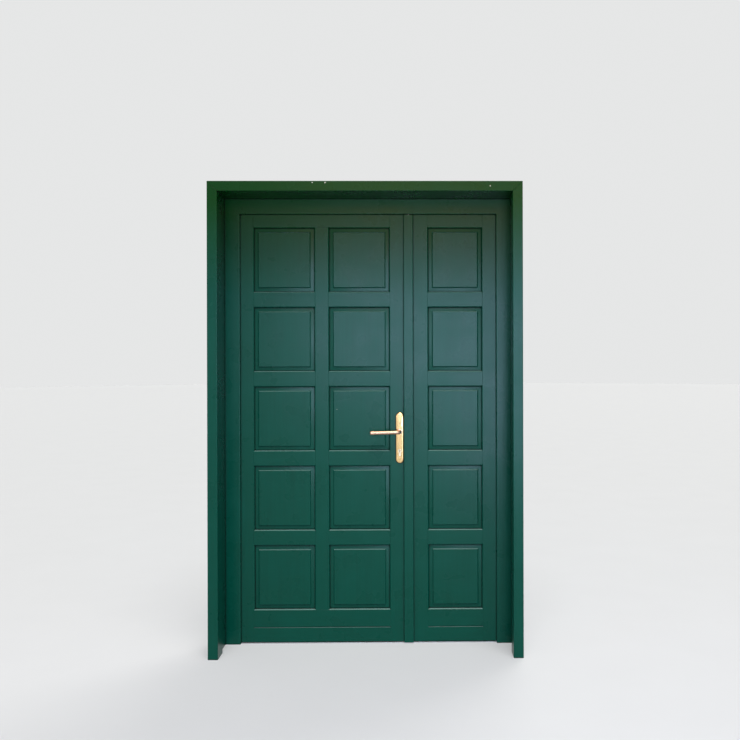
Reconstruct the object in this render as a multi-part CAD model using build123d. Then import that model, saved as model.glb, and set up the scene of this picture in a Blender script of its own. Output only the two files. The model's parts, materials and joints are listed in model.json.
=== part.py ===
# Panelled front door in its frame: one wide leaf for daily use, one narrow leaf kept bolted
# Millimetres. X runs to the right seen from outside, Y runs inwards, Z runs up.
# The origin is on the threshold's underside, midway between the jambs, in the plane of the
# leaves' outer faces.
import math
import os

from build123d import *

# Leaf joinery, shared by both leaves
leaf_thick = 50.0
leaf_bottom = 7.0
groove_wide = 12.0
groove_deep = 12.0
tenon_long = 11.5
tongue_long = 10.0
sticking = 4.0
v_joint = 2.5
cell_high = 304.0
rail_high = 75.0
rows = 5
kick_top = 76.0
bottom_rail_high = 86.0
top_rail_shown = 64.0

# Sight widths across the opening, from the left stop lip to the right one
hinge_stile_shown = 64.0
cell_wide = 287.5
muntin_wide = 70.0
lock_stile_shown = 69.0
astragal_wide = 45.0
meeting_stile_shown = 72.0
narrow_cell_wide = 256.0
narrow_hinge_shown = 68.0
leaf_gap = 4.0

# Raised and fielded panels, the same on both faces
field_back = 3.0
cove_r = 6.5
bevel_deep = 12.0
margin_wide = 22.0
quirk_wide = 0.4

# Frame
lip_overlap = 12.0
lip_thick = 12.0
lip_gap = 2.0
hang_gap = 3.5
jamb_shown = 71.5
head_shown = 72.0
edge_round = 4.0
frame_tenon_wide = 40.0
frame_tenon_thick = 26.0
frame_tenon_long = 45.0

# Reveal linings and surround
reveal_deep = 200.0
lining_thick = 20.0
lining_tongue = 6.0
lining_tongue_long = 7.5
joint_spare = 0.5
surround_face = 46.0
surround_deep = 88.0
surround_round = 3.0
post_set_in = 13.0
head_set_in = 2.0

# Fixing holes through the jambs into the wall
fixing_hole_r = 5.0
fixing_middle = 1030.0
fixing_far = 1200.0
fixing_near = 500.0

# Threshold plate
plate_thick = 4.0
plate_screw_r = 2.75
plate_screw_apart = 900.0

# Rubber seal in the stop lip
seal_stem = 3.0
seal_stem_deep = 5.0
seal_bulb = 6.0
seal_in = 3.5

# Hinges
hinge_high = 100.0
hinge_plate_wide = 32.0
hinge_plate_thick = 3.0
knuckles = 5
knuckle_gap = 0.4
barrel_r = 7.0
barrel_clear = 0.5
pin_r = 4.0
pin_head_r = 6.0
pin_head_high = 3.0
hinge_over_foot = 223.0
hinge_under_top = 228.0
hinge_screw_spread = (-38.0, -14.0, 14.0, 38.0)
hinge_screw_rows = (13.0, 23.0)
screw_head_r = 4.2
screw_shank_r = 2.1
screw_head_deep = 2.5
screw_long = 25.0

# Fits
snug = 0.02
running = 0.06
free = 0.3

# Astragal, the cover strip on the narrow leaf
astragal_thick = 14.0
astragal_round = 3.0
astragal_relief = 1.0
astragal_foot = 5.0
astragal_head_gap = 3.0

# Lever handles and their plates
backset = 40.0
spindle_z = 1009.5
spindle_side = 8.0
spindle_short = 1.0
cylinder_drop = 92.0
handle_plate_wide = 35.0
handle_plate_thick = 8.0
handle_bevel_wide = 5.0
handle_bevel_deep = 3.0
collar_r = 12.0
collar_long = 8.0
collar_flange = 1.5
collar_flange_over = 1.0
lever_r = 9.0
lever_reach = 140.0
lever_stand = 42.0
lever_bend = 15.0
lever_droop = 1.2
lever_end_r = 10.0
lever_end_long = 22.0
lever_end_dome = 6.0
lever_end_ring = 2.0
handle_screw_over_case = 20.0
handle_screw_under_cylinder = 19.5
handle_plate_over_screw = 17.5
handle_plate_under_screw = 13.5
handle_screw_r = 2.5
handle_screw_head_r = 4.5
handle_screw_short = 1.0
handle_post_r = 4.5
handle_post_long = 14.0

# Mortise lock
case_thick = 16.0
case_deep = 64.0
case_over_spindle = 52.0
case_under_cylinder = 43.5
case_wall = 1.5
faceplate_thick = 3.0
faceplate_wide = 22.0
faceplate_over = 14.0
hub_r = 10.0
hub_journal_r = 8.0
hub_arm_r = 17.0
hub_arm_wide = 5.0
latch_over_spindle = 26.0
latch_high = 16.0
latch_thick = 11.0
latch_out = 11.0
latch_nose = 1.5
latch_bevel_out = 0.5
latch_tail = 6.0
latch_lug_wide = 5.0
latch_lug_gap = 3.4
latch_lug_foot = 13.5
dead_over_cylinder = 46.0
dead_high = 30.0
dead_thick = 12.0
dead_long = 44.0
dead_set_in = 0.5
dead_travel = 20.0
dead_edge_round = 1.5
lock_screw_in = 7.0
lock_screw_r = 2.0

# Profile cylinder
cylinder_round_r = 8.5
cylinder_web = 10.0
cylinder_tall = 33.0
cylinder_proud = 2.0
plug_r = 6.5
cam_wide = 9.0
cam_reach = 15.0
cam_thick = 8.0
keyway_wide = 3.0
keyway_high = 9.0
keyway_deep = 22.0

# Strike plate and flush bolts in the narrow leaf's edge
strike_thick = 2.5
strike_wide = 22.0
strike_over = 20.0
strike_pocket_clear = 4.0
bolt_r = 4.0
bolt_in = 20.0
bolt_screw_long = 14.0
bolt_throw = 15.5
bolt_travel = 18.0
bolt_plate_long = 180.0
bolt_plate_wide = 20.0
bolt_plate_in = 12.0
bolt_slot_wide = 8.0
bolt_long = 120.0
bolt_thumb_high = 20.0
bolt_thumb_proud = 1.5
bolt_floor_gap = 0.5
bolt_nose = 1.0
bolt_hole_clear = 0.5
bolt_bore_clear = 1.0
bolt_bore_spare = 8.0
bolt_slot_spare = 1.0
keeper_thick = 2.0
keeper_wide = 26.0
keeper_long = 50.0
keeper_screw_apart = 34.0

# Places worked out from the sizes above
clear_wide = (hinge_stile_shown + 2 * cell_wide + muntin_wide + lock_stile_shown + astragal_wide
              + meeting_stile_shown + narrow_cell_wide + narrow_hinge_shown)
lip_left = -clear_wide / 2
lip_right = clear_wide / 2
sight_1 = lip_left + hinge_stile_shown
sight_2 = sight_1 + cell_wide
sight_3 = sight_2 + muntin_wide
sight_4 = sight_3 + cell_wide
astragal_left = sight_4 + lock_stile_shown
astragal_right = astragal_left + astragal_wide
sight_5 = astragal_right + meeting_stile_shown
sight_6 = sight_5 + narrow_cell_wide
meeting = (astragal_left + astragal_right) / 2
wide_edge = meeting - leaf_gap / 2
narrow_edge = meeting + leaf_gap / 2
leaf_left = lip_left - lip_overlap
leaf_right = lip_right + lip_overlap
cell_foot = kick_top + bottom_rail_high
cell_pitch = cell_high + rail_high
top_sight = cell_foot + rows * cell_high + (rows - 1) * rail_high
lip_top = top_sight + top_rail_shown
leaf_top = lip_top + lip_overlap
groove_front = (leaf_thick - groove_wide) / 2
groove_back = (leaf_thick + groove_wide) / 2
mid_y = leaf_thick / 2

lip_back = -lip_gap
frame_front = lip_back - lip_thick
rebate_right = leaf_right + hang_gap
rebate_top = leaf_top + hang_gap
lining_inside = lip_right + jamb_shown
jamb_outside = lining_inside + lining_thick
soffit = lip_top + head_shown
head_top = soffit + lining_thick
surround_front = frame_front - reveal_deep
surround_back = surround_front + surround_deep
post_inside = lining_inside - post_set_in
post_outside = post_inside + surround_face
surround_soffit = soffit - head_set_in
surround_top = surround_soffit + surround_face

hinge_low = leaf_bottom + hinge_over_foot
hinge_top = leaf_top - hinge_under_top
hinge_heights = (hinge_low, (hinge_low + hinge_top) / 2, hinge_top)
hinge_y = leaf_thick + barrel_r + barrel_clear
hinge_x = (leaf_right + rebate_right) / 2
spindle_x = wide_edge - backset
cylinder_z = spindle_z - cylinder_drop
cylinder_foot = cylinder_z + cylinder_round_r - cylinder_tall
case_foot = cylinder_foot - case_under_cylinder
case_top = spindle_z + case_over_spindle
latch_z = spindle_z + latch_over_spindle
dead_z = cylinder_z + dead_over_cylinder
handle_screw_top = case_top + handle_screw_over_case
handle_screw_foot = cylinder_foot - handle_screw_under_cylinder
handle_plate_top = handle_screw_top + handle_plate_over_screw
handle_plate_foot = handle_screw_foot - handle_plate_under_screw
bolt_x = narrow_edge + bolt_in

far = 3000.0


def shape_face(points):
    """A flat face from its corner points."""
    return make_face(Polyline(*points, close=True))


def along_z(face, low, high):
    """A section drawn in (x, y), run up from one height to another."""
    return extrude(Plane.XY.offset(low) * face, amount=high - low)


def along_x(face, low, high):
    """A section drawn in (z, y), run across from one x to another."""
    plane = Plane(origin=(high, 0, 0), x_dir=(0, 0, 1), z_dir=(-1, 0, 0))
    return extrude(plane * face, amount=high - low)


def along_y(face, low, high):
    """An elevation drawn in (x, z), run inwards from one y to another."""
    plane = Plane(origin=(0, high, 0), x_dir=(1, 0, 0), z_dir=(0, -1, 0))
    return extrude(plane * face, amount=high - low)


def block(x0, x1, y0, y1, z0, z1):
    """A plain block between two corners."""
    middle = ((x0 + x1) / 2, (y0 + y1) / 2, (z0 + z1) / 2)
    return Pos(*middle) * Box(abs(x1 - x0), abs(y1 - y0), abs(z1 - z0))


def rod(start, direction, radius, length):
    """A round rod from a point along a direction."""
    return extrude(Plane(origin=start, z_dir=direction) * Circle(radius), amount=length)


def together(shapes):
    """Several solids as one node."""
    solids = [solid for shape in shapes for solid in shape.solids()]
    return Compound(children=solids)


# Framing: every joint of a leaf follows one edge line, drawn as (place, y)
def edge(sight, toward, depth, arris=sticking, arris_toward=None):
    """The moulded edge of a framing member at its sight line, from outside to inside.

    The groove or tenon goes toward its side by depth, and so does the chamfer on both faces."""
    lean = toward if arris_toward is None else arris_toward
    return [
        (sight + lean * arris, 0),
        (sight, arris),
        (sight, groove_front),
        (sight + toward * depth, groove_front),
        (sight + toward * depth, groove_back),
        (sight, groove_back),
        (sight, leaf_thick - arris),
        (sight + lean * arris, leaf_thick),
    ]


def plain_edge(place):
    """A square edge with no moulding."""
    return [(place, 0), (place, leaf_thick)]


def section(low_edge, high_edge):
    """The section between two edge lines."""
    return shape_face(low_edge + high_edge[::-1])


def rail(left_sight, right_sight, low_edge, high_edge):
    """A horizontal member between two uprights, coped and tenoned into both."""
    ends = section(edge(left_sight, -1, tenon_long), edge(right_sight, 1, tenon_long))
    reach = tenon_long + 1
    body = along_x(section(low_edge, high_edge), left_sight - reach, right_sight + reach)
    return body & along_z(ends, 0, far)


def stile(low_edge, high_edge):
    """An upright from the leaf's foot to its top."""
    return along_z(section(low_edge, high_edge), leaf_bottom, leaf_top)


def panel_section(low, high):
    """A panel's section between two sight lines: tongues, bevels, coves and raised field."""
    def margin(sight, inward):
        """The outer face from the field's edge to the tongue's end, on one side."""
        foot = sight + inward * quirk_wide
        run = margin_wide - cove_r - quirk_wide
        drop = bevel_deep - field_back
        turn = math.atan2(drop, -run) - math.acos(cove_r / math.hypot(run, drop))

        def cove(angle):
            """A point of the cove, whose end runs straight on into the bevel."""
            place = sight + inward * (margin_wide - cove_r + cove_r * math.cos(angle))
            return (place, field_back + cove_r * math.sin(angle))

        return [
            (cove(0), cove(turn / 2), cove(turn)),
            (cove(turn), (foot, bevel_deep)),
            ((foot, bevel_deep), (foot, groove_front)),
            ((foot, groove_front), (sight - inward * tongue_long, groove_front)),
        ]

    def mirrored(point):
        return (point[0], leaf_thick - point[1])

    lines = []
    for sight, inward in ((low, 1), (high, -1)):
        outer = margin(sight, inward)
        lines += outer
        lines += [tuple(mirrored(p) for p in line) for line in outer]
        end = sight - inward * tongue_long
        lines.append(((end, groove_front), (end, groove_back)))
    fields = [low + margin_wide, high - margin_wide]
    for y in (field_back, leaf_thick - field_back):
        lines.append(((fields[0], y), (fields[1], y)))
    edges = [Line(*line) if len(line) == 2 else ThreePointArc(*line) for line in lines]
    return make_face(edges)


def panel(left, right, foot, top):
    """A raised and fielded panel, moulded the same way across and up."""
    across = along_z(panel_section(left, right), foot - groove_deep, top + groove_deep)
    up = along_x(panel_section(foot, top), left - groove_deep, right + groove_deep)
    return across & up


def cell_rows():
    """The foot and top of each row of cells, from the lowest."""
    return [(cell_foot + i * cell_pitch, cell_foot + i * cell_pitch + cell_high) for i in range(rows)]


def cross_rails(left, right):
    """The short rails between the rows of one column of cells."""
    made = []
    for foot, top in cell_rows()[:-1]:
        low = edge(top, 1, groove_deep)
        high = edge(top + rail_high, -1, groove_deep)
        made.append(rail(left, right, low, high))
    return made


def top_rail(left, right):
    """The top rail, grooved along its lower edge."""
    return rail(left, right, edge(top_sight, 1, groove_deep), plain_edge(leaf_top))


def bottom_rail(left, right):
    """The bottom rail, grooved above for panels and below for the kick rail's tongue."""
    low = edge(kick_top, 1, groove_deep, v_joint)
    return rail(left, right, low, edge(cell_foot, -1, groove_deep))


def kick_rail(left, right):
    """The lowest rail, tongued up into the bottom rail with a V joint on both faces."""
    high = edge(kick_top, 1, tongue_long, v_joint, -1)
    return rail(left, right, plain_edge(leaf_bottom), high)


def muntin(left, right):
    """The upright between the two columns of cells, tenoned into the rails above and below."""
    ends = section(edge(cell_foot, -1, tenon_long), edge(top_sight, 1, tenon_long))
    body = along_z(section(edge(left, 1, groove_deep), edge(right, -1, groove_deep)), 0, far)
    return body & along_x(ends, left - 1, right + 1)


# Hinges: side is -1 for the wide leaf's and 1 for the narrow leaf's
def countersunk(point, direction, radius=screw_shank_r, head=screw_head_r, length=screw_long):
    """A countersunk screw with its head flush at a point, going along a direction."""
    plane = Plane(origin=point, z_dir=direction)
    cone = loft([plane * Circle(head), plane.offset(screw_head_deep) * Circle(radius)])
    shank = extrude(plane.offset(screw_head_deep) * Circle(radius), amount=length - screw_head_deep)
    return cone + shank


def knuckle_spans(first):
    """The heights of every second knuckle, from the first or the second."""
    step = (hinge_high + knuckle_gap) / knuckles
    start = -hinge_high / 2
    return [(start + i * step, start + (i + 1) * step - knuckle_gap) for i in range(first, knuckles, 2)]


def hinge_leaf(side, height, on_frame):
    """One hinge leaf: its plate let into the timber and its knuckles round the pin."""
    inner = side * (rebate_right if on_frame else leaf_right)
    outer = inner + (side if on_frame else -side) * hinge_plate_thick
    low, high = height - hinge_high / 2, height + hinge_high / 2
    body = block(inner, outer, leaf_thick - hinge_plate_wide, leaf_thick, low, high)
    axis_x = side * hinge_x
    bore = pin_r + (snug if on_frame else running)
    for foot, top in knuckle_spans(0 if on_frame else 1):
        body += block(inner, outer, leaf_thick, hinge_y, height + foot, height + top)
        body += rod((axis_x, hinge_y, height + foot), (0, 0, 1), barrel_r, top - foot)
    return body - rod((axis_x, hinge_y, low), (0, 0, 1), bore, hinge_high)


def hinge_screws(side, height, on_frame, grow=0.0):
    """The four screws of one hinge leaf, or with grow the holes they sit in."""
    face = side * (rebate_right if on_frame else leaf_right)
    direction = (side if on_frame else -side, 0, 0)
    made = []
    for i, spread in enumerate(hinge_screw_spread):
        y = leaf_thick - hinge_screw_rows[i % 2]
        made.append(countersunk((face, y, height + spread), direction,
                                screw_shank_r + grow, screw_head_r + grow, screw_long + grow))
    return made


def hinge_recess(side, height, on_frame):
    """The recess that a hinge leaf's plate lies in."""
    inner = side * (rebate_right if on_frame else leaf_right)
    outer = inner + (side if on_frame else -side) * hinge_plate_thick
    low, high = height - hinge_high / 2, height + hinge_high / 2
    return block(inner, outer, leaf_thick - hinge_plate_wide, leaf_thick + 1, low, high)


def let_in_hinges(timber, side, on_frame):
    """Cut every hinge recess and screw hole of one stile or jamb."""
    for height in hinge_heights:
        timber -= hinge_recess(side, height, on_frame)
        for hole in hinge_screws(side, height, on_frame, snug):
            timber -= hole
    return timber


def drilled_hinge_leaf(side, height, on_frame):
    """A hinge leaf with its countersunk screw holes."""
    body = hinge_leaf(side, height, on_frame)
    for hole in hinge_screws(side, height, on_frame, snug):
        body -= hole
    return body


def hinge_pin(side, height):
    """A hinge pin with a button head at each end."""
    axis_x = side * hinge_x
    low, high = height - hinge_high / 2, height + hinge_high / 2
    pin = rod((axis_x, hinge_y, low), (0, 0, 1), pin_r, hinge_high)
    pin += rod((axis_x, hinge_y, high), (0, 0, 1), pin_head_r, pin_head_high)
    pin += rod((axis_x, hinge_y, low), (0, 0, -1), pin_head_r, pin_head_high)
    return pin


# Frame
def lining_joint(front, back):
    """The groove that a lining's tongue lies in, in (x, y), on the right."""
    middle = lining_inside + lining_thick / 2
    return [
        (middle - lining_tongue / 2, front),
        (middle + lining_tongue / 2, front),
        (middle + lining_tongue / 2, back),
        (middle - lining_tongue / 2, back),
    ]


def jamb_fixings():
    """The heights of the fixing holes through a jamb."""
    apart = (-fixing_far / 2, -fixing_near / 2, fixing_near / 2, fixing_far / 2)
    return [fixing_middle + a for a in apart]


def seal_slot(inner, outer):
    """The slot in the stop lip that a seal's stem fills."""
    return inner + seal_in, inner + seal_in + seal_stem


def frame_jamb_right():
    """The right jamb, rebated for the leaf, drilled for its fixings and tenoned into the head."""
    outline = shape_face([
        (lip_right, frame_front),
        (jamb_outside, frame_front),
        (jamb_outside, leaf_thick),
        (rebate_right, leaf_thick),
        (rebate_right, lip_back),
        (lip_right, lip_back),
    ])
    outline -= shape_face(lining_joint(frame_front - 1, frame_front + lining_tongue_long + joint_spare))
    slot = seal_slot(lip_right, rebate_right)
    jamb = along_z(outline, 0, lip_top)
    round_edge = jamb.edges().filter_by(Axis.Z).sort_by_distance((lip_right, frame_front, 0))[0]
    jamb = fillet(round_edge, edge_round)
    jamb -= block(slot[0], slot[1], lip_back - seal_stem_deep, lip_back, 0, lip_top)
    middle_x = (rebate_right + jamb_outside) / 2
    jamb += block(middle_x - frame_tenon_wide / 2, middle_x + frame_tenon_wide / 2,
                  mid_y - frame_tenon_thick / 2, mid_y + frame_tenon_thick / 2,
                  lip_top, lip_top + frame_tenon_long)
    for z in jamb_fixings():
        jamb -= rod((rebate_right - 1, mid_y, z), (1, 0, 0), fixing_hole_r, far / 10)
    return let_in_hinges(jamb, 1, True)


def frame_head():
    """The head, running over both jambs, rebated between them."""
    head = block(-jamb_outside, jamb_outside, frame_front, leaf_thick, lip_top, head_top)
    head -= block(-rebate_right, rebate_right, lip_back, leaf_thick + 1, lip_top - 1, rebate_top)
    round_y, round_z = frame_front + edge_round, lip_top + edge_round
    corner = block(lip_left, lip_right, frame_front, round_y, lip_top, round_z)
    corner -= rod((lip_left, round_y, round_z), (1, 0, 0), edge_round, clear_wide)
    head -= corner
    groove_mid = soffit + lining_thick / 2
    head -= block(-far, far, frame_front - 1, frame_front + lining_tongue_long + joint_spare,
                  groove_mid - lining_tongue / 2, groove_mid + lining_tongue / 2)
    slot = seal_slot(lip_top, rebate_top)
    head -= block(-rebate_right, rebate_right, lip_back - seal_stem_deep, lip_back, slot[0], slot[1])
    upright = seal_slot(lip_right, rebate_right)
    middle_x = (rebate_right + jamb_outside) / 2
    for side in (-1, 1):
        head -= block(side * upright[0], side * upright[1], lip_back - seal_stem_deep, lip_back,
                      lip_top - 1, slot[0])
        head -= block(side * (middle_x - frame_tenon_wide / 2), side * (middle_x + frame_tenon_wide / 2),
                      mid_y - frame_tenon_thick / 2, mid_y + frame_tenon_thick / 2,
                      lip_top - 1, lip_top + frame_tenon_long + joint_spare)
    bore_r = bolt_r + bolt_bore_clear
    head -= rod((bolt_x, mid_y, rebate_top - 1), (0, 0, 1), bore_r, bolt_travel + bolt_bore_spare)
    head -= block(bolt_x - keeper_long / 2, bolt_x + keeper_long / 2, mid_y - keeper_wide / 2,
                  mid_y + keeper_wide / 2, rebate_top, rebate_top + keeper_thick)
    for hole in keeper_screws(snug):
        head -= hole
    return head


def keeper_screws(grow=0.0):
    """The two screws of the top bolt's keeper plate, or with grow their holes."""
    return [
        countersunk((bolt_x + side * keeper_screw_apart / 2, mid_y, rebate_top), (0, 0, 1),
                    screw_shank_r + grow, screw_head_r + grow, screw_long + grow)
        for side in (-1, 1)
    ]


def bolt_keeper():
    """The plate let into the head that the top bolt shoots through."""
    plate = block(bolt_x - keeper_long / 2, bolt_x + keeper_long / 2, mid_y - keeper_wide / 2,
                  mid_y + keeper_wide / 2, rebate_top, rebate_top + keeper_thick)
    plate -= rod((bolt_x, mid_y, rebate_top - 1), (0, 0, 1), bolt_r + bolt_hole_clear, keeper_thick + 2)
    for hole in keeper_screws(snug):
        plate -= hole
    return plate


def frame_seal():
    """The rubber seal in the stop lip: a stem in its slot and a bulb towards the leaves."""
    bulb_front = -free
    slot_x = seal_slot(lip_right, rebate_right)
    slot_z = seal_slot(lip_top, rebate_top)

    def strip(slot):
        middle = (slot[0] + slot[1]) / 2
        return shape_face([
            (slot[0], lip_back - seal_stem_deep),
            (slot[1], lip_back - seal_stem_deep),
            (slot[1], lip_back),
            (middle + seal_bulb / 2, lip_back),
            (middle + seal_bulb / 4, bulb_front),
            (middle - seal_bulb / 4, bulb_front),
            (middle - seal_bulb / 2, lip_back),
            (slot[0], lip_back),
        ])

    top_foot = (slot_z[0] + slot_z[1]) / 2 - seal_bulb / 2
    right = along_z(strip(slot_x), plate_thick, top_foot)
    left = mirror(right, about=Plane.YZ)
    reach = (slot_x[0] + slot_x[1]) / 2 + seal_bulb / 2
    top = along_x(strip(slot_z), -reach, reach)
    return together([left, right, top])


def threshold_plate():
    """The flat bar between the jambs, screwed down, with the bottom bolt's hole."""
    plate = block(-rebate_right, rebate_right, lip_back, leaf_thick, 0, plate_thick)
    plate -= rod((bolt_x, mid_y, -1), (0, 0, 1), bolt_r + bolt_hole_clear, plate_thick + 2)
    for side in (-1, 1):
        plate -= rod((side * plate_screw_apart / 2, mid_y, -1), (0, 0, 1), plate_screw_r, plate_thick + 2)
    return plate


def lining_right():
    """The right reveal board, tongued into the jamb behind it and the post before it."""
    board = block(lining_inside, jamb_outside, surround_back, frame_front, 0, soffit)
    tongue = lining_joint(frame_front - 1, frame_front + lining_tongue_long)
    board += along_z(shape_face(tongue), 0, lip_top)
    tongue = lining_joint(surround_back - lining_tongue_long, surround_back + 1)
    return board + along_z(shape_face(tongue), 0, surround_soffit)


def lining_head():
    """The reveal's head board, over both side boards."""
    board = block(-jamb_outside, jamb_outside, surround_back, frame_front, soffit, head_top)
    middle = soffit + lining_thick / 2
    for front, back, reach in (
        (frame_front - 1, frame_front + lining_tongue_long, jamb_outside),
        (surround_back - lining_tongue_long, surround_back + 1, post_inside),
    ):
        board += block(-reach, reach, front, back, middle - lining_tongue / 2, middle + lining_tongue / 2)
    return board


def surround_post_right():
    """The right post, mitred at the top and grooved behind for the lining."""
    outline = shape_face([
        (post_inside, 0),
        (post_outside, 0),
        (post_outside, surround_top),
        (post_inside, surround_soffit),
    ])
    post = block(post_inside, post_outside, surround_front, surround_back, 0, surround_top)
    post = fillet(post.edges().filter_by(Axis.Z).group_by(Axis.Y)[0], surround_round)
    post &= along_y(outline, surround_front, surround_back)
    groove = lining_joint(surround_back - lining_tongue_long - joint_spare, surround_back + 1)
    return post - along_z(shape_face(groove), -1, surround_soffit)


def surround_head():
    """The surround's head, mitred onto both posts and grooved behind for the lining."""
    outline = shape_face([
        (-post_inside, surround_soffit),
        (post_inside, surround_soffit),
        (post_outside, surround_top),
        (-post_outside, surround_top),
    ])
    head = block(-post_outside, post_outside, surround_front, surround_back, surround_soffit, surround_top)
    head = fillet(head.edges().filter_by(Axis.X).group_by(Axis.Y)[0], surround_round)
    head &= along_y(outline, surround_front, surround_back)
    middle = soffit + lining_thick / 2
    groove_end = surround_back - lining_tongue_long - joint_spare
    head -= block(-post_inside, post_inside, groove_end, surround_back + 1,
                  middle - lining_tongue / 2, middle + lining_tongue / 2)
    return head


# Profile cylinder, drawn as (x, z) about the plug's axis
def cylinder_outline(grow=0.0):
    """The profile's round head and straight web."""
    foot = cylinder_foot - grow
    web = shape_face([
        (spindle_x - cylinder_web / 2 - grow, foot),
        (spindle_x + cylinder_web / 2 + grow, foot),
        (spindle_x + cylinder_web / 2 + grow, cylinder_z),
        (spindle_x - cylinder_web / 2 - grow, cylinder_z),
    ])
    return web + Pos(spindle_x, cylinder_z) * Circle(cylinder_round_r + grow)


def cylinder_span():
    """The cylinder's outer and inner ends, just proud of the handle plates."""
    return (-handle_plate_thick - cylinder_proud, leaf_thick + handle_plate_thick + cylinder_proud)


def cylinder_body():
    """The cylinder's body, bored for the plug and open at the middle for the cam."""
    front, back = cylinder_span()
    body = along_y(cylinder_outline(), front, back)
    body -= rod((spindle_x, front - 1, cylinder_z), (0, 1, 0), plug_r + running, back - front + 2)
    gap = cam_wide / 2 + free
    return body - rod((spindle_x, mid_y - gap, cylinder_z), (0, 1, 0), cam_reach + 2 * free, 2 * gap)


def cylinder_plug():
    """The plug with a keyway at both ends and the cam at its middle."""
    front, back = cylinder_span()
    plug = rod((spindle_x, front, cylinder_z), (0, 1, 0), plug_r, back - front)
    plug += rod((spindle_x, mid_y - cam_wide / 2, cylinder_z), (0, 1, 0), cylinder_round_r, cam_wide)
    plug += block(spindle_x - cam_thick / 2, spindle_x + cam_thick / 2, mid_y - cam_wide / 2,
                  mid_y + cam_wide / 2, cylinder_z - cam_reach, cylinder_z)
    for y0, y1 in ((front - 1, front + keyway_deep), (back - keyway_deep, back + 1)):
        plug -= block(spindle_x - keyway_wide / 2, spindle_x + keyway_wide / 2, y0, y1,
                      cylinder_z - keyway_high / 2, cylinder_z + keyway_high / 2)
    return plug


# Handles
def handle_plate(inside):
    """A long plate with round ends and a wide bevel, holed for collar and cylinder."""
    half = handle_plate_wide / 2
    middle = (handle_plate_top + handle_plate_foot) / 2
    tall = handle_plate_top - handle_plate_foot
    outline = Pos(spindle_x, middle) * SlotOverall(tall, 2 * half, rotation=90)
    face_y = leaf_thick + handle_plate_thick if inside else -handle_plate_thick
    seat_y = leaf_thick if inside else 0.0
    plate = along_y(outline, min(face_y, seat_y), max(face_y, seat_y))
    front = plate.faces().sort_by(Axis.Y)[-1 if inside else 0]
    plate = chamfer(front.edges(), handle_bevel_wide, handle_bevel_deep, reference=front)
    plate -= rod((spindle_x, -far, spindle_z), (0, 1, 0), collar_r + running, 2 * far)
    plate -= along_y(cylinder_outline(free), -far, far)
    if inside:
        for hole in handle_screws(snug):
            plate -= hole
    else:
        for z in (handle_screw_top, handle_screw_foot):
            plate += rod((spindle_x, seat_y, z), (0, 1, 0), handle_post_r, handle_post_long)
            plate -= rod((spindle_x, -handle_plate_thick / 2, z), (0, 1, 0), handle_screw_r + snug, far)
    return plate


def handle_screws(grow=0.0):
    """The two screws from the inner plate into the outer plate's posts."""
    head_y = leaf_thick + handle_plate_thick
    long = head_y + handle_plate_thick / 2 - handle_screw_short
    return [
        countersunk((spindle_x, head_y, z), (0, -1, 0), handle_screw_r + grow,
                    handle_screw_head_r + grow, long + grow)
        for z in (handle_screw_top, handle_screw_foot)
    ]


def outer_lever():
    """A round lever: a collar in the plate, a neck, a bend and a bar with a turned end."""
    face = -handle_plate_thick
    start = face + collar_long
    bar_y = face - lever_stand
    drop = math.radians(lever_droop)
    along = Vector(-math.cos(drop), 0, -math.sin(drop))
    corner = Vector(spindle_x, bar_y, spindle_z)
    seat = corner + along * (lever_reach - lever_end_long)
    bar_end = seat + along * (lever_end_long / 2)
    path = FilletPolyline((spindle_x, start, spindle_z), corner, bar_end, radius=lever_bend)
    lever = sweep(Plane(origin=(spindle_x, start, spindle_z), z_dir=(0, -1, 0)) * Circle(lever_r), path)
    flange_r = collar_r + collar_flange_over
    lever += rod((spindle_x, start, spindle_z), (0, -1, 0), collar_r, collar_long)
    lever += rod((spindle_x, face, spindle_z), (0, -1, 0), collar_r - collar_flange_over, collar_flange)
    lever += rod((spindle_x, face - collar_flange, spindle_z), (0, -1, 0), flange_r, collar_flange * 2)
    end = extrude(Plane(origin=seat, z_dir=along) * Circle(lever_end_r), amount=lever_end_long)
    rims = end.edges().filter_by(GeomType.CIRCLE).sort_by(Axis.X)
    end = fillet(rims[0], lever_end_dome)
    rims = end.edges().filter_by(GeomType.CIRCLE).sort_by(Axis.X)
    end = fillet(rims[-1], lever_end_ring)
    lever += end
    hole = spindle_side / 2 + snug
    return lever - block(spindle_x - hole, spindle_x + hole, bar_y + lever_bend, 0,
                         spindle_z - hole, spindle_z + hole)


def inner_lever():
    """The inner lever, the outer one's mirror image."""
    return mirror(outer_lever(), about=Plane.XZ.offset(-mid_y))


def spindle():
    """The square spindle from one lever's neck to the other's."""
    reach = handle_plate_thick + lever_stand - lever_bend - spindle_short
    half = spindle_side / 2
    return block(spindle_x - half, spindle_x + half, -reach, leaf_thick + reach,
                 spindle_z - half, spindle_z + half)


# Mortise lock
def lock_case_cavity():
    """The space inside the lock case."""
    back = wide_edge - case_deep
    return block(back + case_wall, wide_edge - faceplate_thick, mid_y - case_thick / 2 + case_wall,
                 mid_y + case_thick / 2 - case_wall, case_foot + case_wall, case_top - case_wall)


def lock_case():
    """The lock case, a folded steel box with its holes for hub, cylinder and screws."""
    back = wide_edge - case_deep
    case = block(back, wide_edge - faceplate_thick, mid_y - case_thick / 2, mid_y + case_thick / 2,
                 case_foot, case_top)
    case -= lock_case_cavity()
    case -= rod((spindle_x, -far, spindle_z), (0, 1, 0), hub_journal_r + running, 2 * far)
    case -= along_y(cylinder_outline(free), -far, far)
    case -= rod((spindle_x, -far, handle_screw_foot), (0, 1, 0), handle_screw_r + 2 * free, 2 * far)
    return case


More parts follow.
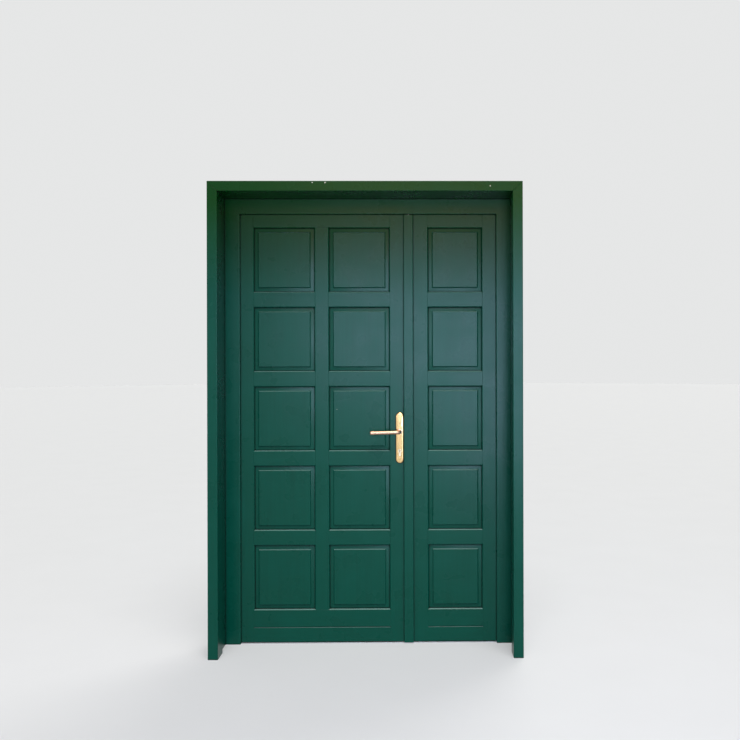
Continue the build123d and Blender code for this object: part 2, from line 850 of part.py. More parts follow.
def lock_faceplate():
    """The faceplate in the leaf's edge, with its two bolt openings and screw holes."""
    plate = block(wide_edge - faceplate_thick, wide_edge, mid_y - faceplate_wide / 2,
                  mid_y + faceplate_wide / 2, case_foot - faceplate_over, case_top + faceplate_over)
    for middle, high, thick in ((latch_z, latch_high, latch_thick), (dead_z, dead_high, dead_thick)):
        plate -= block(wide_edge - far, wide_edge + 1, mid_y - thick / 2 - free, mid_y + thick / 2 + free,
                       middle - high / 2 - free, middle + high / 2 + free)
    for hole in lock_screws(snug):
        plate -= hole
    return plate


def lock_screws(grow=0.0):
    """The two screws of the lock's faceplate, or with grow their holes."""
    heights = (case_foot - faceplate_over + lock_screw_in, case_top + faceplate_over - lock_screw_in)
    return [
        countersunk((wide_edge, mid_y, z), (-1, 0, 0), lock_screw_r + grow,
                    screw_head_r + grow, screw_long + grow)
        for z in heights
    ]


def lock_hub():
    """The follower: a square-holed hub in the case's sides, with the arm that draws the latch."""
    inside = case_thick / 2 - case_wall - free
    hub = rod((spindle_x, mid_y - inside, spindle_z), (0, 1, 0), hub_r, 2 * inside)
    hub += rod((spindle_x, mid_y - case_thick / 2, spindle_z), (0, 1, 0), hub_journal_r, case_thick)
    hub += block(spindle_x - hub_arm_wide / 2, spindle_x + hub_arm_wide / 2, mid_y - latch_tail / 2,
                 mid_y + latch_tail / 2, spindle_z, spindle_z + hub_arm_r)
    half = spindle_side / 2 + snug
    return hub - block(spindle_x - half, spindle_x + half, -far, far, spindle_z - half, spindle_z + half)


def latch_bolt():
    """The latch: a head bevelled towards the closing side, a tail and the lug the hub pushes."""
    front = wide_edge + latch_out
    root = wide_edge - faceplate_thick - case_deep / 4
    low_y, high_y = mid_y - latch_thick / 2, mid_y + latch_thick / 2
    head = along_z(shape_face([
        (root, low_y),
        (front, low_y),
        (front, low_y + latch_nose),
        (wide_edge + latch_bevel_out, high_y),
        (root, high_y),
    ]), latch_z - latch_high / 2, latch_z + latch_high / 2)
    lug_face = spindle_x - latch_lug_gap
    lug_back = lug_face - latch_lug_wide
    tail_low = latch_z - latch_tail / 2
    tail = block(lug_back, root, mid_y - latch_tail / 2, mid_y + latch_tail / 2, tail_low,
                 latch_z + latch_tail / 2)
    lug = block(lug_back, lug_face, mid_y - latch_tail / 2, mid_y + latch_tail / 2,
                spindle_z + latch_lug_foot, tail_low)
    return head + tail + lug


def dead_bolt():
    """The dead bolt, stored drawn back just inside the faceplate."""
    front = wide_edge - dead_set_in
    bolt = block(front - dead_long, front, mid_y - dead_thick / 2, mid_y + dead_thick / 2,
                 dead_z - dead_high / 2, dead_z + dead_high / 2)
    vertical = bolt.edges().filter_by(Axis.Z).group_by(Axis.X)[-1]
    return fillet(vertical, dead_edge_round)


def lock_stile():
    """The wide leaf's meeting stile, mortised for the lock and bored for handle and cylinder."""
    body = stile(edge(sight_4, 1, groove_deep), plain_edge(wide_edge))
    back = wide_edge - case_deep - free
    body -= block(back, wide_edge + 1, mid_y - case_thick / 2 - free, mid_y + case_thick / 2 + free,
                  case_foot - free, case_top + free)
    body -= block(wide_edge - faceplate_thick, wide_edge + 1, mid_y - faceplate_wide / 2,
                  mid_y + faceplate_wide / 2, case_foot - faceplate_over, case_top + faceplate_over)
    body -= rod((spindle_x, -1, spindle_z), (0, 1, 0), collar_r + 1, leaf_thick + 2)
    body -= along_y(cylinder_outline(2 * free), -1, leaf_thick + 1)
    for z in (handle_screw_top, handle_screw_foot):
        body -= rod((spindle_x, -1, z), (0, 1, 0), handle_post_r + free, leaf_thick + 2)
    for hole in lock_screws(snug):
        body -= hole
    return body


# Narrow leaf's edge furniture
def strike_span():
    """The strike plate's foot and top."""
    return dead_z - dead_high / 2 - strike_over, latch_z + latch_high / 2 + strike_over


def strike_openings(grow):
    """The openings for latch and dead bolt, as deep as each one reaches past the leaf's edge."""
    bolts = (
        (latch_z, latch_high, latch_thick, latch_out),
        (dead_z, dead_high, dead_thick, dead_travel - dead_set_in),
    )
    return [
        block(narrow_edge - 1, wide_edge + reach + strike_pocket_clear,
              mid_y - thick / 2 - grow, mid_y + thick / 2 + grow,
              middle - high / 2 - grow, middle + high / 2 + grow)
        for middle, high, thick, reach in bolts
    ]


def strike_screws(grow=0.0):
    """The strike plate's two screws, or with grow their holes."""
    foot, top = strike_span()
    return [
        countersunk((narrow_edge, mid_y, z), (1, 0, 0), screw_shank_r + grow,
                    screw_head_r + grow, screw_long + grow)
        for z in (foot + strike_over / 2, top - strike_over / 2)
    ]


def strike_plate():
    """The strike plate that latch and dead bolt shoot through."""
    foot, top = strike_span()
    plate = block(narrow_edge, narrow_edge + strike_thick, mid_y - strike_wide / 2,
                  mid_y + strike_wide / 2, foot, top)
    for hole in strike_openings(2 * free):
        plate -= hole
    for hole in strike_screws(snug):
        plate -= hole
    return plate


def bolt_ends(upper):
    """A flush bolt's tip, its plate's near end and the way it shoots, up or down."""
    if upper:
        return leaf_top + bolt_throw, leaf_top - bolt_plate_in, 1
    return bolt_floor_gap, leaf_bottom + bolt_plate_in, -1


def bolt_plate_span(upper):
    """The lowest and highest point of a flush bolt's edge plate."""
    _, near, way = bolt_ends(upper)
    return tuple(sorted((near, near - way * bolt_plate_long)))


def thumb_span(upper):
    """The lowest and highest point of a bolt's thumb piece when the bolt is shot."""
    tip, _, way = bolt_ends(upper)
    end = tip - way * bolt_long
    return tuple(sorted((end, end + way * bolt_thumb_high)))


def slot_span(upper):
    """The slot that the thumb piece slides in, with room at both ends."""
    low, high = thumb_span(upper)
    way = bolt_ends(upper)[2]
    drawn = -way * bolt_travel
    return min(low, low + drawn) - bolt_slot_spare, max(high, high + drawn) + bolt_slot_spare


def bolt_plate_screws(upper, grow=0.0):
    """The two screws of a flush bolt's plate, or with grow their holes."""
    low, high = bolt_plate_span(upper)
    return [
        countersunk((narrow_edge, mid_y, z), (1, 0, 0), lock_screw_r + grow,
                    screw_head_r + grow, bolt_screw_long + grow)
        for z in (low + lock_screw_in, high - lock_screw_in)
    ]


def flush_bolt_plate(upper):
    """A flush bolt's edge plate with its slot."""
    low, high = bolt_plate_span(upper)
    plate = block(narrow_edge, narrow_edge + strike_thick, mid_y - bolt_plate_wide / 2,
                  mid_y + bolt_plate_wide / 2, low, high)
    slot_low, slot_high = slot_span(upper)
    plate -= block(narrow_edge - 1, narrow_edge + strike_thick + 1, mid_y - bolt_slot_wide / 2 - free,
                   mid_y + bolt_slot_wide / 2 + free, slot_low, slot_high)
    for hole in bolt_plate_screws(upper, snug):
        plate -= hole
    return plate


def flush_bolt(upper):
    """A flush bolt: a round rod with a ribbed thumb piece, stored shot."""
    ribs = 4
    rib_gap = 2.0
    rib_deep = 0.8
    face = narrow_edge - bolt_thumb_proud
    tip, _, way = bolt_ends(upper)
    bolt = rod((bolt_x, mid_y, tip - way * bolt_long), (0, 0, way), bolt_r, bolt_long)
    edges = bolt.edges().sort_by(Axis.Z)
    bolt = chamfer(edges[-1] if upper else edges[0], bolt_nose)
    low, high = thumb_span(upper)
    bolt += block(face, bolt_x + bolt_r / 2, mid_y - bolt_slot_wide / 2,
                  mid_y + bolt_slot_wide / 2, low, high)
    for i in range(ribs):
        z = low + (i + 0.5) * bolt_thumb_high / ribs
        bolt -= block(face - 1, face + rib_deep, mid_y - far, mid_y + far, z - rib_gap / 2, z + rib_gap / 2)
    return bolt


def meeting_stile():
    """The narrow leaf's meeting stile, pocketed for strike plate and flush bolts."""
    body = stile(plain_edge(narrow_edge), edge(sight_5, -1, groove_deep))
    foot, top = strike_span()
    body -= block(narrow_edge - 1, narrow_edge + strike_thick, mid_y - strike_wide / 2,
                  mid_y + strike_wide / 2, foot, top)
    for opening in strike_openings(3 * free):
        body -= opening
    for hole in strike_screws(snug):
        body -= hole
    for upper in (False, True):
        low, high = bolt_plate_span(upper)
        body -= block(narrow_edge - 1, narrow_edge + strike_thick, mid_y - bolt_plate_wide / 2,
                      mid_y + bolt_plate_wide / 2, low, high)
        slot_low, slot_high = slot_span(upper)
        body -= block(narrow_edge, bolt_x + bolt_r + free, mid_y - bolt_slot_wide / 2 - free,
                      mid_y + bolt_slot_wide / 2 + free, slot_low, slot_high)
        way = bolt_ends(upper)[2]
        start = slot_low if upper else slot_high
        body -= rod((bolt_x, mid_y, start), (0, 0, way), bolt_r + running, far)
        for hole in bolt_plate_screws(upper, snug):
            body -= hole
    return body


def astragal():
    """The cover strip: rounded in front, relieved behind where it laps the wide leaf."""
    strip = shape_face([
        (astragal_left, -astragal_thick),
        (astragal_right, -astragal_thick),
        (astragal_right, 0),
        (narrow_edge, 0),
        (narrow_edge, -astragal_relief),
        (astragal_left, -astragal_relief),
    ])
    body = along_z(strip, astragal_foot, lip_top - astragal_head_gap)
    front = body.edges().filter_by(Axis.Z).group_by(Axis.Y)[0]
    return fillet(front, astragal_round)


def wide_leaf():
    """The wide leaf's timber, as named pieces."""
    hinge_side = stile(plain_edge(leaf_left), edge(sight_1, -1, groove_deep))
    pieces = {
        "active_hinge_stile": let_in_hinges(hinge_side, -1, False),
        "active_lock_stile": lock_stile(),
        "active_top_rail": top_rail(sight_1, sight_4),
        "active_bottom_rail": bottom_rail(sight_1, sight_4),
        "active_kick_rail": kick_rail(sight_1, sight_4),
        "active_muntin": muntin(sight_2, sight_3),
        "active_cross_rails": together(cross_rails(sight_1, sight_2) + cross_rails(sight_3, sight_4)),
    }
    for i, (foot, top) in enumerate(cell_rows(), 1):
        pair = [panel(sight_1, sight_2, foot, top), panel(sight_3, sight_4, foot, top)]
        pieces[f"active_panels_row_{i}"] = together(pair)
    return pieces


def narrow_leaf():
    """The narrow leaf's timber, as named pieces."""
    hinge_stile = let_in_hinges(stile(edge(sight_6, 1, groove_deep), plain_edge(leaf_right)), 1, False)
    pieces = {
        "passive_hinge_stile": hinge_stile,
        "passive_meeting_stile": meeting_stile(),
        "passive_top_rail": top_rail(sight_5, sight_6),
        "passive_bottom_rail": bottom_rail(sight_5, sight_6),
        "passive_kick_rail": kick_rail(sight_5, sight_6),
        "passive_cross_rails": together(cross_rails(sight_5, sight_6)),
        "astragal": astragal(),
    }
    for i, (foot, top) in enumerate(cell_rows(), 1):
        pieces[f"passive_panel_{i}"] = panel(sight_5, sight_6, foot, top)
    return pieces


def frame():
    """The frame, linings and surround, as named pieces."""
    lining = lining_right()
    post = surround_post_right()
    jamb = frame_jamb_right()
    return {
        "surround_post_left": mirror(post, about=Plane.YZ),
        "surround_post_right": post,
        "surround_head": surround_head(),
        "lining_left": mirror(lining, about=Plane.YZ),
        "lining_right": lining,
        "lining_head": lining_head(),
        "frame_jamb_left": mirror(jamb, about=Plane.YZ),
        "frame_jamb_right": jamb,
        "frame_head": frame_head(),
        "threshold_plate": threshold_plate(),
        "frame_seal": frame_seal(),
        "bolt_keeper": bolt_keeper(),
    }


def hinges():
    """All six hinges: leaves, pins and screws, as named groups."""
    sides = (-1, 1)
    fixed_screws = [s for side in sides for z in hinge_heights for s in hinge_screws(side, z, True)]
    fixed_screws += [s for z in hinge_heights for s in hinge_screws(1, z, False)]
    frame_leaves = [drilled_hinge_leaf(side, z, True) for side in sides for z in hinge_heights]
    return {
        "hinge_frame_leaves": together(frame_leaves),
        "active_hinge_leaves": together([drilled_hinge_leaf(-1, z, False) for z in hinge_heights]),
        "passive_hinge_leaves": together([drilled_hinge_leaf(1, z, False) for z in hinge_heights]),
        "hinge_pins": together([hinge_pin(s, z) for s in sides for z in hinge_heights]),
        "frame_side_screws": together(
            fixed_screws + keeper_screws() + strike_screws()
            + bolt_plate_screws(False) + bolt_plate_screws(True)),
        "active_hinge_screws": together([s for z in hinge_heights for s in hinge_screws(-1, z, False)]),
    }


def furniture():
    """Lock, cylinder, handles and bolts, as named pieces."""
    return {
        "lock_case": lock_case(),
        "lock_faceplate": lock_faceplate(),
        "lock_screws": together(lock_screws()),
        "lock_hub": lock_hub(),
        "latch_bolt": latch_bolt(),
        "dead_bolt": dead_bolt(),
        "cylinder_body": cylinder_body(),
        "cylinder_plug": cylinder_plug(),
        "outer_backplate": handle_plate(False),
        "inner_backplate": handle_plate(True),
        "handle_screws": together(handle_screws()),
        "outer_lever": outer_lever(),
        "inner_lever": inner_lever(),
        "spindle": spindle(),
        "strike_plate": strike_plate(),
        "flush_bolt_plates": together([flush_bolt_plate(False), flush_bolt_plate(True)]),
        "top_bolt": flush_bolt(True),
        "bottom_bolt": flush_bolt(False),
    }


os.makedirs("parts", exist_ok=True)
for made in (frame(), hinges(), wide_leaf(), narrow_leaf(), furniture()):
    for name, shape in made.items():
        export_step(shape, f"parts/{name}.step")
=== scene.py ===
# Looks for the panelled front door in its frame: timber with softened arrises under satin
# paint, a lacquered brass lever on a long plate, and cross-slotted screws.
import json
import math

import bpy
from mathutils import Matrix, Vector


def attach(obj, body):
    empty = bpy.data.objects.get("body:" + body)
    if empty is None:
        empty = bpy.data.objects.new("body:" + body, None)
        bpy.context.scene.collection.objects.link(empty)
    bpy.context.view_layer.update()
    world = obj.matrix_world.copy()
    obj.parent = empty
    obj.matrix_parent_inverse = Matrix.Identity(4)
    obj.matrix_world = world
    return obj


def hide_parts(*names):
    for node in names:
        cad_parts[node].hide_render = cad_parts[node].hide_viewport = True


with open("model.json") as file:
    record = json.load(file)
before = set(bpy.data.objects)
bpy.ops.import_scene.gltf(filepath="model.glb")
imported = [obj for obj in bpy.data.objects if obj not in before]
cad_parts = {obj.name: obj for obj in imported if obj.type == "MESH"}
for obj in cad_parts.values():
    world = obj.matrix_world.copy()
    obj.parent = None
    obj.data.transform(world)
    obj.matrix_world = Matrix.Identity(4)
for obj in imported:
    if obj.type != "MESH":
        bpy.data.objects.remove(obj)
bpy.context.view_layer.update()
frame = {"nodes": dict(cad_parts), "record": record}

MM = 0.001

# Which body each node belongs to, and a point on the axis that the key turns about
BEHAVIOUR = frame["record"]["behaviour"]
BODY_OF = {name: body for body, names in BEHAVIOUR["bodies"].items() for name in names}
KEY_AXIS = next(joint["pos_m"] for joint in BEHAVIOUR["joints"] if joint["name"] == "key_turn")

# Arrises as they are sanded or buffed, and how a mesh is cleaned and shaded
TIMBER_ARRIS = 1.3 * MM
PANEL_ARRIS = 0.8 * MM
BRASS_ARRIS = 0.9 * MM
ARRIS_STEPS = 2
SAME_POINT = 0.02 * MM
SAME_FACE = math.radians(0.5)
EASED_ANGLE = math.radians(38)
SHARP_ANGLE = math.radians(32)

# The driver's tip that cuts the cross recesses: its square core and its four arms. A face of the
# core has its middle within CORE_REACH, and faces an arm's way if the cosine is over SAME_WAY
CORE_WIDE = 1.2 * MM
CORE_STRETCH = 3.0
CORE_REACH = 0.7 * MM
SAME_WAY = 0.9
ARM_LONG = 2.0 * MM
ARM_TAPER = 0.8

# Screws: how near its end a point counts as on it, and the angle from one screw to the next
END_DEPTH = 0.1 * MM
SCREW_STOP = math.radians(137.5)

# The keyway: how far its walls reach from the key's axis, and how far they stay from the ends
KEYWAY_HALF_WIDE = 1.7 * MM
KEYWAY_HALF_HIGH = 4.8 * MM
END_FACE = 0.2 * MM

# The enamel's green where the film is thin and thick, and in painted warm shade up under the head,
# the primer under it, and the pale tone of dust with a painted highlight on it
THIN_GREEN = "#004737"
THICK_GREEN = "#005040"
WARM_SHADE_GREEN = "#003e0f"
PRIMER = "#c9cdbd"
DUST_AND_HIGHLIGHT = "#98bdb9"

# Marks on the front faces: knocks as (x, z, radius), and a filled hole's middle as (x, z) with
# the outer and inner radius of its ring and the width of the ring's edge
HEAD_KNOCKS = ((-0.238, 2.154, 2.6 * MM), (-0.180, 2.154, 3.0 * MM), (0.566, 2.139, 2.6 * MM))
PANEL_KNOCKS = ((-0.152, 1.115, 1.6 * MM),)
FILLED_HOLE = (0.694, 0.099)
HOLE_RIM = 7.0 * MM
HOLE_CORE = 5.5 * MM
HOLE_EDGE = 0.6 * MM

# Paint: the heights between which the painted warm shade comes in, how far the painted shade spreads from
# a corner and from the plate, and how deep its swells, growth rings and brush ridges are
WARM_SHADE_FROM = 1.66
WARM_SHADE_FULL_AT = 2.06
CORNER_SHADE_REACH = 8 * MM
PLATE_SHADOW_WIDE = 6 * MM
SWELL_DEEP = 0.6 * MM
RING_DEEP = 0.1 * MM
RIDGE_DEEP = 0.05 * MM

# How patterns stretch along the grain of upright and level timber
UPRIGHT_GRAIN = (1.0, 1.0, 0.03)
LEVEL_GRAIN = (0.03, 1.0, 1.0)

# The stage: the floor's own glow where it is seen, and the air's strength as a light and as seen
FLOOR_GLOW = 0.34
AIR_AS_LIGHT = 0.27
AIR_AS_SEEN = 0.88

# Sockets by number: a colour mix's factor, two colours and result, and a range's value and limits
FACTOR, FIRST, SECOND, MIXED = 0, 6, 7, 2
VALUE, FROM_LOW, FROM_HIGH, TO_LOW, TO_HIGH = 0, 1, 2, 3, 4


def pick(obj):
    """Selects one object alone and makes it the active one."""
    bpy.ops.object.select_all(action="DESELECT")
    obj.select_set(True)
    bpy.context.view_layer.objects.active = obj


def linear(code):
    """An sRGB hex colour as the linear values that a shader socket takes."""
    parts = [int(code[i:i + 2], 16) / 255 for i in (1, 3, 5)]
    return [c / 12.92 if c <= 0.04045 else ((c + 0.055) / 1.055) ** 2.4 for c in parts] + [1.0]


def add_node(tree, kind, values=None, links=None, **settings):
    """One node with its settings, the values of its inputs and the outputs that feed it."""
    node = tree.nodes.new(kind)
    for name, value in settings.items():
        setattr(node, name, value)
    for key, value in (values or {}).items():
        node.inputs[key].default_value = value
    for key, source in (links or {}).items():
        tree.links.new(source, node.inputs[key])
    return node


def new_finish(name):
    """An empty material with its tree and its one shader."""
    finish = bpy.data.materials.new(name)
    finish.use_nodes = True
    return finish, finish.node_tree, finish.node_tree.nodes["Principled BSDF"]


def spot(tree, here, centre, radius, edge):
    """A mask that is 1 inside a ragged round spot on a front face and 0 outside it."""
    flat = add_node(tree, "ShaderNodeMapping", {"Scale": (1.0, 0.0, 1.0)}, {"Vector": here})
    ragged = add_node(tree, "ShaderNodeTexNoise", {"Scale": 700.0, "Detail": 1.0}, {"Vector": here})
    away = add_node(tree, "ShaderNodeVectorMath", {1: (centre[0], 0.0, centre[1])},
                    {0: flat.outputs["Vector"]}, operation="DISTANCE")
    wander = add_node(tree, "ShaderNodeMath", {1: edge * 2, 2: -edge}, {0: ragged.outputs["Fac"]},
                      operation="MULTIPLY_ADD")
    total = add_node(tree, "ShaderNodeMath", {}, {0: away.outputs["Value"], 1: wander.outputs[0]})
    return add_node(tree, "ShaderNodeMapRange",
                    {FROM_LOW: radius - edge / 2, FROM_HIGH: radius + edge / 2, TO_LOW: 1.0, TO_HIGH: 0.0},
                    {VALUE: total.outputs[0]}).outputs[0]


def painted_plate_shadow(tree, here):
    """Painted shadow round the handle plate: dark at its rim, gone a few millimetres away."""
    rim = [v.co for v in frame["nodes"]["outer_backplate"].data.vertices]
    left, right = min(p.x for p in rim), max(p.x for p in rim)
    foot, top = min(p.z for p in rim), max(p.z for p in rim)
    half_wide = (right - left) / 2
    at = add_node(tree, "ShaderNodeSeparateXYZ", {}, {0: here})
    aside = add_node(tree, "ShaderNodeMath", {1: (left + right) / 2}, {0: at.outputs["X"]},
                     operation="SUBTRACT")
    between_ends = add_node(tree, "ShaderNodeClamp", {"Min": foot + half_wide, "Max": top - half_wide},
                            {"Value": at.outputs["Z"]})
    beyond = add_node(tree, "ShaderNodeMath", {}, {0: at.outputs["Z"], 1: between_ends.outputs[0]},
                      operation="SUBTRACT")
    offset = add_node(tree, "ShaderNodeCombineXYZ", {}, {"X": aside.outputs[0], "Z": beyond.outputs[0]})
    away = add_node(tree, "ShaderNodeVectorMath", {}, {0: offset.outputs[0]}, operation="LENGTH")
    return add_node(tree, "ShaderNodeMapRange",
                    {FROM_LOW: half_wide, FROM_HIGH: half_wide + PLATE_SHADOW_WIDE, TO_LOW: 0.2, TO_HIGH: 1.0},
                    {VALUE: away.outputs["Value"]}).outputs[0]


def enamel_colour(tree, here, film, rings, knocks):
    """The paint's green, a little darker over the growth rings, with its knocks, painted warm shade up top
    and dust with a painted highlight.
    """
    fresh = add_node(tree, "ShaderNodeMix", {FIRST: linear(THIN_GREEN), SECOND: linear(THICK_GREEN)},
                     {FACTOR: film}, data_type="RGBA")
    # Painted shade and warm reflected light: the green turns darker and warmer up under the head
    at = add_node(tree, "ShaderNodeSeparateXYZ", {}, {0: here})
    warm_shade = add_node(tree, "ShaderNodeMapRange",
                         {FROM_LOW: WARM_SHADE_FROM, FROM_HIGH: WARM_SHADE_FULL_AT, TO_LOW: 0.0, TO_HIGH: 1.0},
                         {VALUE: at.outputs["Z"]})
    tone = add_node(tree, "ShaderNodeMix", {SECOND: linear(WARM_SHADE_GREEN)},
                    {FACTOR: warm_shade.outputs[0], FIRST: fresh.outputs[MIXED]}, data_type="RGBA")
    shade = add_node(tree, "ShaderNodeMapRange",
                     {FROM_LOW: 0.3, FROM_HIGH: 0.7, TO_LOW: 0.94, TO_HIGH: 1.04}, {VALUE: rings})
    colour = add_node(tree, "ShaderNodeMix", {FACTOR: 1.0},
                      {FIRST: tone.outputs[MIXED], SECOND: shade.outputs[0]},
                      data_type="RGBA", blend_type="MULTIPLY").outputs[MIXED]
    # A knock goes through to the primer, which is nearly white
    for x, z, radius in knocks:
        knock = spot(tree, here, (x, z), radius, radius / 2)
        colour = add_node(tree, "ShaderNodeMix", {SECOND: linear(PRIMER)}, {FACTOR: knock, FIRST: colour},
                          data_type="RGBA").outputs[MIXED]
    # Pale dust with a painted highlight on the ledges that face up
    surface = add_node(tree, "ShaderNodeNewGeometry")
    upward = add_node(tree, "ShaderNodeSeparateXYZ", {}, {0: surface.outputs["Normal"]})
    dust_and_highlight = add_node(tree, "ShaderNodeMapRange",
                    {FROM_LOW: 0.5, FROM_HIGH: 0.75, TO_LOW: 0.0, TO_HIGH: 0.31},
                    {VALUE: upward.outputs["Z"]})
    return add_node(tree, "ShaderNodeMix", {SECOND: linear(DUST_AND_HIGHLIGHT)},
                    {FACTOR: dust_and_highlight.outputs[0], FIRST: colour}, data_type="RGBA").outputs[MIXED]


def painted_corner_shade(tree, here, shadow_round_plate):
    """Painted shade: 1 on open faces, and less in the inner corners, which are darkened and made matt."""
    corner = add_node(tree, "ShaderNodeAmbientOcclusion", {"Distance": CORNER_SHADE_REACH}, samples=8)
    unshaded = add_node(tree, "ShaderNodeMapRange",
                     {FROM_LOW: 0.5, FROM_HIGH: 0.92, TO_LOW: 0.15, TO_HIGH: 1.0},
                     {VALUE: corner.outputs["AO"]}).outputs[0]
    if not shadow_round_plate:
        return unshaded
    return add_node(tree, "ShaderNodeMath", {}, {0: unshaded, 1: painted_plate_shadow(tree, here)},
                    operation="MULTIPLY").outputs[0]


def enamel_relief(tree, here, rings, ridges, filled_hole):
    """The swells of the board, its growth rings and the brush's ridges, one over the other."""
    # Boards move with the seasons: swells about 70 mm wide and a fraction of a millimetre deep
    height = add_node(tree, "ShaderNodeTexNoise", {"Scale": 14.0, "Detail": 1.0},
                      {"Vector": here}).outputs["Fac"]
    if filled_hole:
        rim = spot(tree, here, filled_hole, HOLE_RIM, HOLE_EDGE)
        core = spot(tree, here, filled_hole, HOLE_CORE, HOLE_EDGE)
        ring = add_node(tree, "ShaderNodeMath", {}, {0: rim, 1: core}, operation="SUBTRACT")
        height = add_node(tree, "ShaderNodeMath", {1: -1.0}, {0: ring.outputs[0], 2: height},
                          operation="MULTIPLY_ADD").outputs[0]
    swells = add_node(tree, "ShaderNodeBump", {"Strength": 0.5, "Distance": SWELL_DEEP},
                      {"Height": height})
    ringed = add_node(tree, "ShaderNodeBump", {"Strength": 0.5, "Distance": RING_DEEP},
                      {"Height": rings, "Normal": swells.outputs["Normal"]})
    return add_node(tree, "ShaderNodeBump", {"Strength": 0.4, "Distance": RIDGE_DEEP},
                    {"Height": ridges, "Normal": ringed.outputs["Normal"]}).outputs["Normal"]


def painted_timber(name, grain, knocks=(), filled_hole=None, shadow_round_plate=False):
    """Satin alkyd enamel, two coats laid off by brush along planed softwood.

    The brush leaves fine ridges along the grain, the wood telegraphs through in wider lines,
    and the film dries a little unevenly, so the sheen wanders while the colour hardly does.
    A filled screw hole shows as a ring, and round a plate a dark line is painted shadow."""
    finish, tree, shader = new_finish(name)
    here = add_node(tree, "ShaderNodeTexCoord").outputs["Object"]
    along = add_node(tree, "ShaderNodeMapping", {"Scale": grain}, {"Vector": here}).outputs["Vector"]
    # Film thickness: patches about 140 mm wide
    film = add_node(tree, "ShaderNodeTexNoise", {"Scale": 7.0, "Detail": 3.0, "Roughness": 0.55},
                    {"Vector": here}).outputs["Fac"]
    # Growth rings under the paint: lines 9 mm apart and 300 mm long
    rings = add_node(tree, "ShaderNodeTexNoise", {"Scale": 110.0, "Detail": 2.0, "Roughness": 0.5},
                     {"Vector": along}).outputs["Fac"]
    # Brush ridges: really 0.5 mm apart, drawn 2 mm apart so that they show
    ridges = add_node(tree, "ShaderNodeTexNoise", {"Scale": 500.0, "Detail": 2.0, "Roughness": 0.6},
                      {"Vector": along}).outputs["Fac"]
    # Painted shade in the inner corners and round the plate darkens the colour below
    unshaded = painted_corner_shade(tree, here, shadow_round_plate)
    colour = add_node(tree, "ShaderNodeMix", {FACTOR: 1.0},
                      {FIRST: enamel_colour(tree, here, film, rings, knocks), SECOND: unshaded},
                      data_type="RGBA", blend_type="MULTIPLY")
    tree.links.new(colour.outputs[MIXED], shader.inputs["Base Color"])
    # The enamel has a satin sheen, and it is made matt where the painted shade lies
    sheen = add_node(tree, "ShaderNodeMapRange",
                     {FROM_LOW: 0.3, FROM_HIGH: 0.7, TO_LOW: 0.25, TO_HIGH: 0.33}, {VALUE: film})
    shaded = add_node(tree, "ShaderNodeMath", {0: 1.0}, {1: unshaded}, operation="SUBTRACT")
    rough = add_node(tree, "ShaderNodeMath", {}, {0: sheen.outputs[0], 1: shaded.outputs[0]},
                     operation="MAXIMUM")
    tree.links.new(rough.outputs[0], shader.inputs["Roughness"])
    shader.inputs["Specular IOR Level"].default_value = 0.17
    tree.links.new(enamel_relief(tree, here, rings, ridges, filled_hole), shader.inputs["Normal"])
    return finish


def metal(name, bright, dull, rough_low, rough_high, grain, lines_scale, lines_deep):
    """A metal whose sheen and tone wander a little, with fine lines left by how it was finished.

    The real lines are some hundredths of a millimetre apart. They are drawn 0.7 to 2 mm apart,
    so that they show."""
    finish, tree, shader = new_finish(name)
    shader.inputs["Metallic"].default_value = 1.0
    here = add_node(tree, "ShaderNodeTexCoord").outputs["Object"]
    along = add_node(tree, "ShaderNodeMapping", {"Scale": grain}, {"Vector": here})
    # Tone: patches about 17 mm wide
    cloud = add_node(tree, "ShaderNodeTexNoise", {"Scale": 60.0, "Detail": 3.0}, {"Vector": here})
    lines = add_node(tree, "ShaderNodeTexNoise", {"Scale": lines_scale, "Detail": 3.0},
                     {"Vector": along.outputs["Vector"]}).outputs["Fac"]
    tone = add_node(tree, "ShaderNodeMix", {FIRST: linear(dull), SECOND: linear(bright)},
                    {FACTOR: cloud.outputs["Fac"]}, data_type="RGBA")
    tree.links.new(tone.outputs[MIXED], shader.inputs["Base Color"])
    rough = add_node(tree, "ShaderNodeMapRange",
                     {FROM_LOW: 0.3, FROM_HIGH: 0.7, TO_LOW: rough_low, TO_HIGH: rough_high},
                     {VALUE: lines})
    tree.links.new(rough.outputs[0], shader.inputs["Roughness"])
    relief = add_node(tree, "ShaderNodeBump", {"Strength": 0.5, "Distance": lines_deep}, {"Height": lines})
    tree.links.new(relief.outputs["Normal"], shader.inputs["Normal"])
    return finish


def extruded_rubber(name):
    """Black EPDM, extruded: matt, with a bloom of grey dust in patches about 11 mm wide."""
    finish, tree, shader = new_finish(name)
    here = add_node(tree, "ShaderNodeTexCoord").outputs["Object"]
    bloom = add_node(tree, "ShaderNodeTexNoise", {"Scale": 90.0, "Detail": 4.0},
                     {"Vector": here}).outputs["Fac"]
    tone = add_node(tree, "ShaderNodeMix", {FIRST: linear("#161717"), SECOND: linear("#2b2c2b")},
                    {FACTOR: bloom}, data_type="RGBA")
    tree.links.new(tone.outputs[MIXED], shader.inputs["Base Color"])
    shader.inputs["Roughness"].default_value = 0.75
    relief = add_node(tree, "ShaderNodeBump", {"Strength": 0.4, "Distance": 0.1 * MM}, {"Height": bloom})
    tree.links.new(relief.outputs["Normal"], shader.inputs["Normal"])
    return finish


def seen_directly(tree):
    """1 where the camera sees this, straight or in a mirror or through glass, and 0 elsewhere."""
    path = add_node(tree, "ShaderNodeLightPath").outputs
    seen = add_node(tree, "ShaderNodeMath", {}, {0: path["Is Camera Ray"], 1: path["Is Glossy Ray"]},
                    operation="MAXIMUM")
    return add_node(tree, "ShaderNodeMath", {}, {0: seen.outputs[0], 1: path["Is Transmission Ray"]},
                    operation="MAXIMUM").outputs[0]


upright_paint = painted_timber("satin_enamel_on_upright_timber", UPRIGHT_GRAIN)
level_paint = painted_timber("satin_enamel_on_level_timber", LEVEL_GRAIN)
